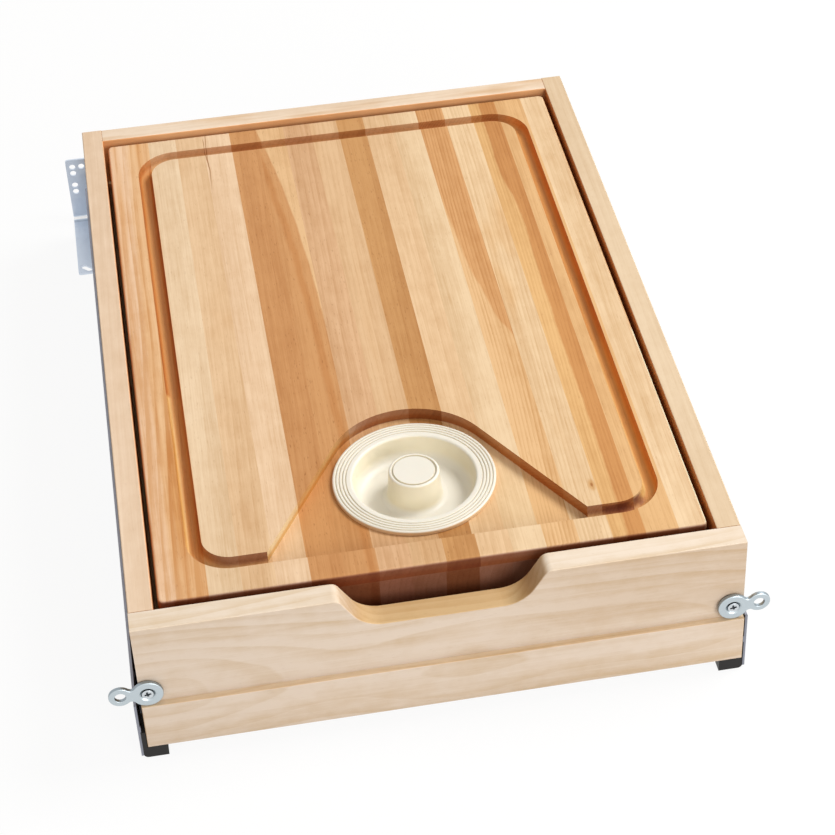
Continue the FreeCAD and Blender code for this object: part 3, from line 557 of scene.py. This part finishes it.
def plated(name, tone, roughness, spangle=0.0, brushed=0.0, along=(1, 1, 1), tints=()):
    """Plated sheet steel: crystals of zinc, rolling lines across the axes in along, and tints by place."""
    tree = Shader(name, Metallic=1.0)
    flakes = tree.add("TexVoronoi", (tree.vector("MULTIPLY", tree.place, (240, 240, 240)), None, 1.0), 1)
    flake = tree.add("SeparateColor", (flakes,), 0)
    cloud = tree.noise(tree.place, (60, 60, 60), 3.0)
    lines = tree.noise(tree.place, tuple(1400 if axis else 25 for axis in along), 2.0)
    shade = tree.total(
        tree.centred(flake, spangle), tree.centred(cloud, 0.25), tree.centred(lines, brushed), 0.5)
    body = tree.mix(shade, scaled(tone, 0.86, 0.86, 0.87), scaled(tone, 1.06, 1.06, 1.05))
    for share, factor in tints:
        body = tree.tinted(share(tree), body, factor)
    tree.bump(tree.total(lines, cloud), 0.02 * MM, 0.4)
    rough = tree.total(roughness, tree.centred(flake, spangle * 0.5), tree.centred(cloud, 0.15))
    return tree.paint(body, rough)


def near_line(y, z, reach):
    """A share that grows near a line along X."""
    def share(tree):
        here = tree.vector("MULTIPLY", tree.place, (0.0, 1.0, 1.0))
        return tree.step(tree.measure("DISTANCE", here, (0.0, y, z)), reach, reach * 0.3)
    return share


def sheared(tree):
    """The share of a stamping's edges, which are duller than its faces."""
    across = tree.math("ABSOLUTE", tree.add("SeparateXYZ", (tree.facing,), 1))
    return tree.step(across, 0.75, 0.35)


screw_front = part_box("fastener_screw_left")[0].y
# The screw head's cross recess is painted near black as painted shade
in_recess = rising(1, screw_front + 0.15 * MM, screw_front + 0.65 * MM)
zinc = plated("zinc_clip", colour("C4CED3"), 0.42, tints=[(sheared, (0.62, 0.64, 0.66))])
head_metal = plated("screw_steel", colour("D2D8DC"), 0.34, tints=[(in_recess, (0.12, 0.13, 0.14))])
screw_metal = plated("screw_plain", colour("C4CAD1"), 0.30)
runner_metal = plated("runner_steel", colour("93959F"), 0.42, spangle=0.35, brushed=0.3, along=(1, 0, 1))
# A painted highlight along the bracket's fold, and a painted shade line 4.5 mm in front of it
bracket_low, bracket_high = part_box("rear_bracket_left")
fold_y, fold_z = bracket_high.y - 1.5 * MM, bracket_low.z + 1.5 * MM
bracket_metal = plated("bracket_steel", colour("D6DFEB"), 0.40, spangle=0.30, brushed=0.2, along=(1, 0, 1),
                       tints=[(near_line(fold_y, fold_z, 2.6 * MM), (1.9, 1.9, 1.85)),
                              (near_line(fold_y - 4.5 * MM, fold_z, 1.8 * MM), (0.80, 0.81, 0.82))])
cap_plastic = plastic("cap_black", colour("110E0C"), 0.45, Specular_IOR_Level=0.35)
carriage_plastic = plastic("carriage_grey", colour("9A9DA0"), 0.50)
roller_plastic = plastic("roller_white", colour("E6E5DF"), 0.35)
lock_plastic = plastic("lock_grey", colour("6D7176"), 0.48)
lever_plastic = plastic("lever_orange", colour("D9651F"), 0.42)
plug_low, plug_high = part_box("scrap_plug")


def from_axis(tree):
    """How far a place lies from the plug's upright axis, in mm."""
    centre = (plug_low + plug_high) / 2
    level = tree.vector("MULTIPLY", tree.place, (1.0, 1.0, 0.0))
    return tree.math("DIVIDE", tree.measure("DISTANCE", level, (centre.x, centre.y, 0.0)), MM)


def at_radii(radii, reach):
    """A share that grows near some radii of the plug."""
    def share(tree):
        away = from_axis(tree)
        lines = [tree.step(tree.math("ABSOLUTE", tree.math("SUBTRACT", away, radius)), reach, reach * 0.3)
                 for radius in radii]
        return tree.total(*lines)
    return share


# Radii of the plug's lines, in mm
flange_radius = (plug_high.x - plug_low.x) / 2 / MM
FLANGE_RINGS = [flange_radius - 2.3 - 2.1 * index for index in range(4)]
KNOB_RING = 13.7
high_places = rising(2, plug_high.z - 8 * MM, plug_high.z - 7 * MM)
# Painted shade on the plug: its steep faces warmer, its flange's edge brown as painted shade and painted
# reflection of the wood, and its ring grooves and the groove round the knob's disc darker
ivory = plastic("plug_ivory", colour("E6E2D7"), 0.42, Subsurface_Weight=0.1, Subsurface_Scale=0.003,
                Subsurface_Radius=(1.0, 0.75, 0.55),
                tints=[(steep(0.15, 0.90), (1.05, 1.00, 0.87)),
                       (both(steep(), at_radii([flange_radius], 0.5)), (0.84, 0.66, 0.50)),
                       (both(high_places, at_radii(FLANGE_RINGS, 0.45)), (0.80, 0.77, 0.72)),
                       (both(high_places, at_radii([KNOB_RING], 0.7)), (0.70, 0.67, 0.61))])

PLAIN_NODES = {
    "cleat_screws": screw_metal,
    "lock_screws": screw_metal,
    "bracket_rivets": bracket_metal,
}
for side in ("left", "right"):
    PLAIN_NODES.update({
        f"cabinet_rail_{side}": runner_metal,
        f"middle_rail_{side}": runner_metal,
        f"drawer_rail_{side}": runner_metal,
        f"rear_bracket_{side}": bracket_metal,
        f"end_cap_{side}": cap_plastic,
        f"lower_carriage_{side}": carriage_plastic,
        f"upper_carriage_{side}": carriage_plastic,
        f"lower_rollers_{side}": roller_plastic,
        f"upper_rollers_{side}": roller_plastic,
        f"locking_device_{side}": lock_plastic,
        f"release_lever_{side}": lever_plastic,
    })
for node, material in PLAIN_NODES.items():
    finish_node(node, material)


# Pieces that take the place of plainer solids
def rounded_line(corners, steps=6):
    """Points along a line through (across, up, radius) corners, each rounded by its radius."""
    points = []
    for index, (x, y, radius) in enumerate(corners):
        here = Vector((x, y))
        if radius == 0:
            points.append(here)
            continue
        back = (Vector(corners[index - 1][:2]) - here).normalized()
        ahead = (Vector(corners[index + 1][:2]) - here).normalized()
        half = back.angle(ahead) / 2
        centre = here + (back + ahead).normalized() * (radius / math.sin(half))
        start = here + back * (radius / math.tan(half)) - centre
        end = here + ahead * (radius / math.tan(half)) - centre
        turn = math.atan2(start.cross(end), start.dot(end))
        for step in range(steps + 1):
            angle = math.atan2(start.y, start.x) + turn * step / steps
            points.append(centre + Vector((math.cos(angle), math.sin(angle))) * radius)
    return points


def skin(mesh, loops):
    """Faces between one closed loop of vertices and the next. A single vertex closes a pole."""
    for low, high in zip(loops, loops[1:]):
        for k in range(max(len(low), len(high))):
            corners = [low[k % len(low)], low[(k + 1) % len(low)],
                       high[(k + 1) % len(high)], high[k % len(high)]]
            mesh.faces.new(list(dict.fromkeys(corners)))


def cap(mesh, loops):
    """A flat face inside the first loop and outside the others."""
    edges = []
    for loop in loops:
        for k, vertex in enumerate(loop):
            edges.append(mesh.edges.get((vertex, loop[(k + 1) % len(loop)]))
                         or mesh.edges.new((vertex, loop[(k + 1) % len(loop)])))
    bmesh.ops.triangle_fill(mesh, edges=edges, use_beauty=True)


def finish_piece(name, mesh, material, body, slot, *stands_for):
    """Turn a mesh into a piece that rides on a body and stands for some nodes."""
    bmesh.ops.recalc_face_normals(mesh, faces=mesh.faces)
    data = bpy.data.meshes.new(name)
    mesh.to_mesh(data)
    mesh.free()
    data.shade_smooth()
    data.set_sharp_from_angle(angle=math.radians(35))
    data.materials.append(material)
    piece = bpy.data.objects.new(name, data)
    bpy.context.scene.collection.objects.link(piece)
    weighted = piece.modifiers.new("weighted", "WEIGHTED_NORMAL")
    weighted.keep_sharp = True
    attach(piece, body)
    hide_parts(*stands_for)


def scrap_plug():
    """The moulded plug: a ringed flange, a bowl for the fingers and a hollow knob."""
    low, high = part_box("scrap_plug")
    knob_top = high.z / MM
    knob_rise, bowl_depth, wall = 5.2, 16.0, 2.8
    bowl, draft, knob, flare = 39.0, 2.2, 16.1, 1.2
    top = knob_top - knob_rise
    floor = top - bowl_depth
    under = top - 3.2
    rings = []
    for at in reversed(FLANGE_RINGS):
        rings += [(at - 0.55, top, 0.15), (at, top - 0.85, 0.15), (at + 0.55, top, 0.15)]
    profile = [
        (0, knob_top, 0), (13.1, knob_top, 0.25), (13.3, knob_top - 1.0, 0.1), (14.2, knob_top - 1.0, 0.1),
        (14.4, knob_top, 0.25), (knob, knob_top, 1.3), (knob + flare, floor, 4.5), (bowl - draft, floor, 8.0),
        (bowl, top, 2.0), *rings, (flange_radius, top, 1.3), (flange_radius, under, 0.5),
        (bowl + wall - draft, under, 0.5), (bowl + wall - 2 * draft, floor - wall, 6.0),
        (knob + flare - wall, floor - wall, 1.0), (knob - wall, knob_top - wall, 1.5),
        (0, knob_top - wall, 0),
    ]
    mesh = bmesh.new()
    centre = Vector(((low.x + high.x) / 2, (low.y + high.y) / 2, 0))
    turns = 192
    loops = []
    for radius, height in rounded_line(profile):
        count = turns if radius > 0.01 else 1
        ring = []
        for k in range(count):
            angle = math.tau * k / turns
            offset = Vector((math.cos(angle) * radius, math.sin(angle) * radius, height)) * MM
            ring.append(mesh.verts.new(centre + offset))
        loops.append(ring)
    skin(mesh, loops)
    finish_piece("scrap_plug_moulded", mesh, ivory, "plug", "plug_ivory", "scrap_plug")


def arc(centre, radius, start, end, steps):
    """Points of an arc in the plate's own plane, without its last point."""
    angles = [start + (end - start) * k / steps for k in range(steps)]
    return [centre + Vector((math.cos(a), math.sin(a))) * radius for a in angles]


def fastener(side):
    """A stamped figure-eight fastener with softened edges, dished round its screw."""
    big, small, waist = 9.5, 7.0, 2.5
    low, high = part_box(f"fastener_{side}")
    screw_low, screw_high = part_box(f"fastener_screw_{side}")
    screw = (screw_low + screw_high) / 2 / MM
    hole = mounts[f"fastener_{side}_hole"] / MM
    reach = Vector((hole.x - screw.x, hole.z - screw.z))
    span = reach.length
    along = (span ** 2 + (big + waist) ** 2 - (small + waist) ** 2) / (2 * span)
    across = math.sqrt((big + waist) ** 2 - along ** 2)
    near = math.atan2(across, along)
    far = math.atan2(across, span - along)
    tilt = math.atan2(reach.y, reach.x)
    turned = Vector((math.cos(tilt), math.sin(tilt)))
    upward = Vector((-turned.y, turned.x))

    def outline(inset):
        """The figure eight, drawn in by an inset."""
        left, right = Vector((0, 0)), Vector((span, 0))
        above, below = Vector((along, across)), Vector((along, -across))
        points = arc(left, big - inset, near, math.tau - near, 60)
        points += arc(below, waist + inset, math.pi - near, far, 10)
        points += arc(right, small - inset, far - math.pi, math.pi - far, 44)
        points += arc(above, waist + inset, -far, near - math.pi, 10)
        return points

    def circle(at, radius):
        return arc(at, radius, 0, math.tau, 48)

    front, back = low.y / MM, high.y / MM
    mesh = bmesh.new()

    def loop(points, depth):
        """A closed loop of vertices, turned to lie along the fastener."""
        ring = []
        for point in points:
            flat = turned * point.x + upward * point.y
            ring.append(mesh.verts.new(Vector((screw.x + flat.x, depth, screw.z + flat.y)) * MM))
        return ring

    def rim(shape, profile):
        """Loops of a rim through (inset, depth) points, from the front to the back."""
        loops = [loop(shape(inset), depth) for inset, depth in profile]
        skin(mesh, loops)
        return loops[0], loops[-1]

    soft, nick = 0.7, 0.25
    edge = rounded_line([(soft * 2, front, 0), (0, front, soft), (0, back, nick), (nick * 2, back, 0)], 5)
    outer = rim(outline, edge[1:-1])
    small_at = Vector((span, 0))
    hole_edge = rounded_line([(-1, front, 0), (0, front, 0.4), (0, back, nick), (-1, back, 0)], 4)
    small_hole = rim(lambda inset: circle(small_at, 3.4 - inset), hole_edge[1:-1])
    head, shank = 5.1, 2.35
    dish = rounded_line([(head + 1, front, 0), (head, front, 0.3),
                         (shank, back - 0.1, 0), (shank, back, 0)], 4)
    big_hole = rim(lambda inset: circle(Vector((0, 0)), inset), dish[1:])
    cap(mesh, [outer[0], small_hole[0], big_hole[0]])
    cap(mesh, [outer[1], small_hole[1], big_hole[1]])
    node = f"fastener_{side}"
    finish_piece(node + "_stamped", mesh, zinc, node, "zinc_clip", node)


def fastener_screw(side):
    """A countersunk screw with a cross recess."""
    node = f"fastener_screw_{side}"
    low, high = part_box(node)
    centre = (low + high) / 2 / MM
    head = (high.x - low.x) / 2 / MM - 0.7
    front, back = low.y / MM, high.y / MM
    shank, sink, turns = 2.2, head - 2.2, 64
    mesh = bmesh.new()

    def ring(radius, depth):
        return [mesh.verts.new(Vector((centre.x + p.x, depth, centre.z + p.y)) * MM)
                for p in arc(Vector((0, 0)), radius, 0, math.tau, turns)]

    def cross(reach, half, depth):
        """The recess's outline, a cross with tapered arms, turned a little."""
        points = []
        for quarter in range(4):
            turn = quarter * math.pi / 2 + math.radians(12)
            cosine, sine = math.cos(turn), math.sin(turn)
            for x, y in ((reach, -half), (reach, half), (half * 1.25, half * 1.25)):
                points.append((x * cosine - y * sine, x * sine + y * cosine))
        return [mesh.verts.new(Vector((centre.x + x, depth, centre.z + y)) * MM) for x, y in points]

    profile = rounded_line([(0.5, front, 0), (head, front, 0.25), (shank, front + sink, 0.4),
                            (shank, back, 0.5), (0.5, back, 0)], 4)
    loops = [ring(p.x, p.y) for p in profile[1:-1]]
    skin(mesh, loops)
    tip = mesh.verts.new(Vector((centre.x, back, centre.z)) * MM)
    skin(mesh, [loops[-1], [tip]])
    mouth = cross(2.2, 0.55, front)
    deep = cross(1.4, 0.40, front + 1.2)
    skin(mesh, [mouth, deep])
    cap(mesh, [loops[0], mouth])
    cap(mesh, [deep])
    finish_piece(f"{node}_turned", mesh, head_metal, "drawer", "screw_steel", node)


scrap_plug()
for side in ("left", "right"):
    fastener(side)
    fastener_screw(side)

# The floor keeps the object's shadow and is white to the camera and in reflections
FLOOR_HALF = 8.0
SHADOW_KEPT = 0.08


def is_seen(tree_nodes, tree_links):
    """1 for camera, glossy and transmission rays, 0 for the rays that light the object."""
    path = tree_nodes.new("ShaderNodeLightPath")
    result = path.outputs["Is Camera Ray"]
    for other in ("Is Glossy Ray", "Is Transmission Ray"):
        join = tree_nodes.new("ShaderNodeMath")
        join.operation = "MAXIMUM"
        tree_links.new(result, join.inputs[0])
        tree_links.new(path.outputs[other], join.inputs[1])
        result = join.outputs[0]
    return result


def make_floor():
    """A plain white floor at the lowest place of the object."""
    mesh = bmesh.new()
    corners = [(-1, -1), (1, -1), (1, 1), (-1, 1)]
    mesh.faces.new([mesh.verts.new((x * FLOOR_HALF, y * FLOOR_HALF, 0)) for x, y in corners])
    data = bpy.data.meshes.new("floor")
    mesh.to_mesh(data)
    mesh.free()
    floor = bpy.data.objects.new("floor", data)
    bpy.context.scene.collection.objects.link(floor)
    material = bpy.data.materials.new("floor_white")
    material.use_nodes = True
    tree_nodes, tree_links = material.node_tree.nodes, material.node_tree.links
    shader = tree_nodes["Principled BSDF"]
    shader.inputs["Base Color"].default_value = (0.9, 0.9, 0.9, 1)
    shader.inputs["Roughness"].default_value = 0.9
    shader.inputs["Specular IOR Level"].default_value = 0.0
    glow = tree_nodes.new("ShaderNodeEmission")
    share = tree_nodes.new("ShaderNodeMath")
    share.operation = "MULTIPLY"
    share.inputs[1].default_value = 1 - SHADOW_KEPT
    tree_links.new(is_seen(tree_nodes, tree_links), share.inputs[0])
    blend = tree_nodes.new("ShaderNodeMixShader")
    tree_links.new(share.outputs[0], blend.inputs[0])
    tree_links.new(shader.outputs[0], blend.inputs[1])
    tree_links.new(glow.outputs[0], blend.inputs[2])
    tree_links.new(blend.outputs[0], tree_nodes["Material Output"].inputs["Surface"])
    data.materials.append(material)


def make_world(ambient):
    """Soft warm light from all round, seen as plain white."""
    world = bpy.data.worlds.new("studio")
    bpy.context.scene.world = world
    world.use_nodes = True
    tree_nodes, tree_links = world.node_tree.nodes, world.node_tree.links
    lit = tree_nodes["Background"]
    lit.inputs["Color"].default_value = (1.0, 0.93, 0.84, 1)
    lit.inputs["Strength"].default_value = ambient
    seen = tree_nodes.new("ShaderNodeBackground")
    seen.inputs["Color"].default_value = (1, 1, 1, 1)
    seen.inputs["Strength"].default_value = 1.0
    blend = tree_nodes.new("ShaderNodeMixShader")
    tree_links.new(is_seen(tree_nodes, tree_links), blend.inputs[0])
    tree_links.new(lit.outputs[0], blend.inputs[1])
    tree_links.new(seen.outputs[0], blend.inputs[2])
    tree_links.new(blend.outputs[0], tree_nodes["World Output"].inputs["Surface"])


def area_light(name, place, target, size, power):
    """A round white lamp that looks at a target."""
    data = bpy.data.lights.new(name, "AREA")
    data.shape = "DISK"
    data.size = size
    data.energy = power
    lamp = bpy.data.objects.new(name, data)
    bpy.context.scene.collection.objects.link(lamp)
    lamp.location = place
    lamp.rotation_euler = (Vector(target) - Vector(place)).to_track_quat("-Z", "Y").to_euler()


make_floor()
make_world(0.46)
area_light("key", (1.5, 0.2, 2.0), (0, 0, 0.05), 1.1, 45)
area_light("fill", (1.2, -2.6, 1.1), (0, -0.2, 0.05), 1.8, 44)

# The camera stands where the photograph was taken from
camera_data = bpy.data.cameras.new("camera")
camera = bpy.data.objects.new("camera", camera_data)
bpy.context.scene.collection.objects.link(camera)
bpy.context.scene.camera = camera
FOCAL_PIXELS = 2308.8
FRAME_PIXELS = 835
camera_data.sensor_width = 36.0
camera_data.lens = FOCAL_PIXELS / FRAME_PIXELS * camera_data.sensor_width
camera_data.shift_x = -0.05
camera_data.shift_y = -0.05
camera_data.clip_start = 0.05
camera_data.clip_end = 50
camera.location = (-0.13800, -1.25295, 1.06400)
camera.rotation_euler = Euler([math.radians(a) for a in (50.684, 1.520, -10.159)], "XYZ")
bpy.context.scene.view_settings.view_transform = "Standard"
